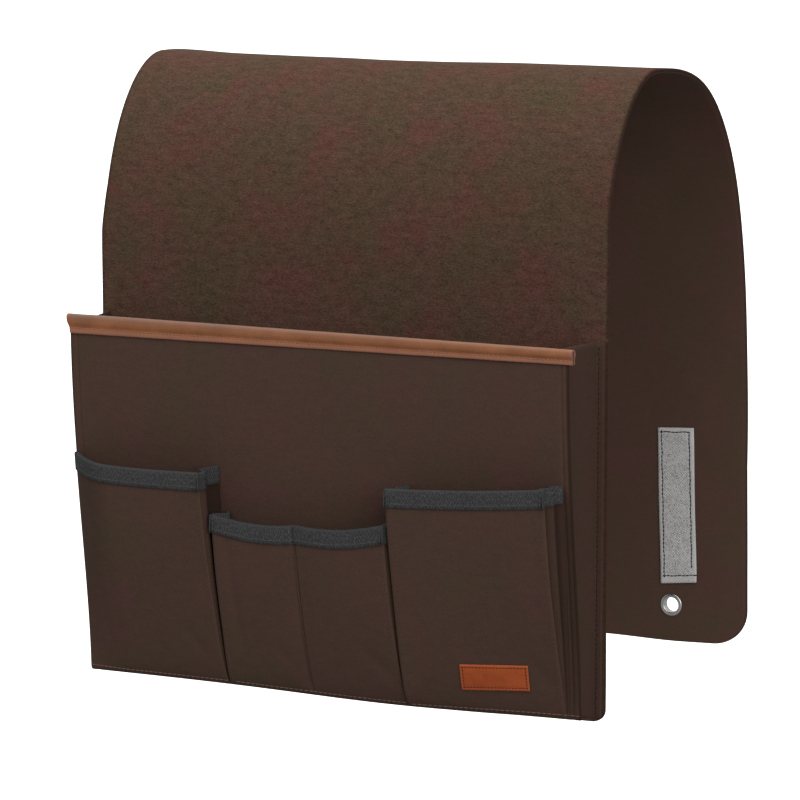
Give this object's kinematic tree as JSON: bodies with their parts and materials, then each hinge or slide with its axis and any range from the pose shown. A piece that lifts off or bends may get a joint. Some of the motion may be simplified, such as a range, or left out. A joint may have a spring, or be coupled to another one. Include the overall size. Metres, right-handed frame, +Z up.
{
  "type": "sofa armrest organizer",
  "caption": "Felt strip that hangs over a sofa arm, with a wide gusseted magazine pocket on its front flap and smaller open pockets sewn before it.",
  "frame": {"origin": "middle of the strip's width, under the lining at the top of the crown, where it rests on the sofa arm", "axes": "+Z up, +X along the sofa arm to the right as the pockets are faced, -Y towards the pockets"},
  "size_m": [0.33, 0.3126, 0.3785],
  "materials": {
    "felt": "brushed felt, nap outwards",
    "lining": "smooth dark backing cloth",
    "pocket_cloth": "felt with a short nap",
    "tan_leather": "smooth, semi-matt",
    "grey_tape": "woven binding tape",
    "label_leather": "matt, bare",
    "fastening_tape": "loop tape",
    "nickel": "nickel plated"
  },
  "bodies": {
    "crown": {"crown_felt": "felt", "crown_lining": "lining"},
    "front_flap": {"front_flap_felt": "felt", "front_flap_lining": "lining", "magazine_floor": "pocket_cloth", "magazine_gusset_left": "pocket_cloth", "magazine_gusset_right": "pocket_cloth"},
    "rear_flap": {"rear_flap_felt": "felt", "rear_flap_lining": "lining", "fastening_strip_left": "fastening_tape", "fastening_strip_right": "fastening_tape", "eyelet_barrel_left": "nickel", "eyelet_barrel_right": "nickel", "eyelet_washer_left": "nickel", "eyelet_washer_right": "nickel"},
    "magazine_pocket": {"magazine_panel": "pocket_cloth", "magazine_mouth_band": "tan_leather", "left_pocket_side": "pocket_cloth", "left_pocket_gusset": "pocket_cloth", "twin_pocket_gusset_left": "pocket_cloth", "twin_pocket_gusset_right": "pocket_cloth", "twin_pocket_partition": "pocket_cloth", "right_pocket_gusset_left": "pocket_cloth", "right_pocket_gusset_right": "pocket_cloth"},
    "left_pocket": {"left_pocket_panel": "pocket_cloth", "left_pocket_mouth_tape": "grey_tape"},
    "twin_pocket": {"twin_pocket_panel": "pocket_cloth", "twin_pocket_mouth_tape": "grey_tape"},
    "right_pocket": {"right_pocket_panel": "pocket_cloth", "right_pocket_mouth_tape": "grey_tape", "label_patch": "label_leather"}
  },
  "joints": [
    {"name": "front_flap_swing", "type": "hinge", "parent": "crown", "child": "front_flap", "pos_m": [0, -0.07175, -0.08235], "axis": [-1, 0, 0], "range_deg": [-12, 30], "stiffness_Nm_per_rad": 1.2, "springref_deg": 1.76},
    {"name": "rear_flap_swing", "type": "hinge", "parent": "crown", "child": "rear_flap", "pos_m": [0, 0.13283, -0.06885], "axis": [1, 0, 0], "range_deg": [-12, 30], "stiffness_Nm_per_rad": 1.2, "springref_deg": 1.02},
    {"name": "magazine_pocket_open", "type": "hinge", "parent": "front_flap", "child": "magazine_pocket", "pos_m": [0, -0.1002, -0.367], "axis": [1, 0, 0], "range_deg": [-10.5, 1.5], "stiffness_Nm_per_rad": 1, "springref_deg": -0.75, "deforming": ["magazine_gusset_left", "magazine_gusset_right"]},
    {"name": "left_pocket_open", "type": "hinge", "parent": "magazine_pocket", "child": "left_pocket", "pos_m": [-0.0965, -0.1021, -0.367], "axis": [1, 0, 0], "range_deg": [-8, 1], "stiffness_Nm_per_rad": 0.1, "springref_deg": -0.65, "deforming": ["left_pocket_side", "left_pocket_gusset"]},
    {"name": "twin_pocket_open", "type": "hinge", "parent": "magazine_pocket", "child": "twin_pocket", "pos_m": [-0.005, -0.1021, -0.367], "axis": [1, 0, 0], "range_deg": [-8, 1], "stiffness_Nm_per_rad": 0.1, "springref_deg": -0.96, "deforming": ["twin_pocket_gusset_left", "twin_pocket_gusset_right", "twin_pocket_partition"]},
    {"name": "right_pocket_open", "type": "hinge", "parent": "magazine_pocket", "child": "right_pocket", "pos_m": [0.105, -0.1021, -0.367], "axis": [1, 0, 0], "range_deg": [-8, 2.5], "stiffness_Nm_per_rad": 0.1, "springref_deg": -1.15, "deforming": ["right_pocket_gusset_left", "right_pocket_gusset_right"]}
  ]
}
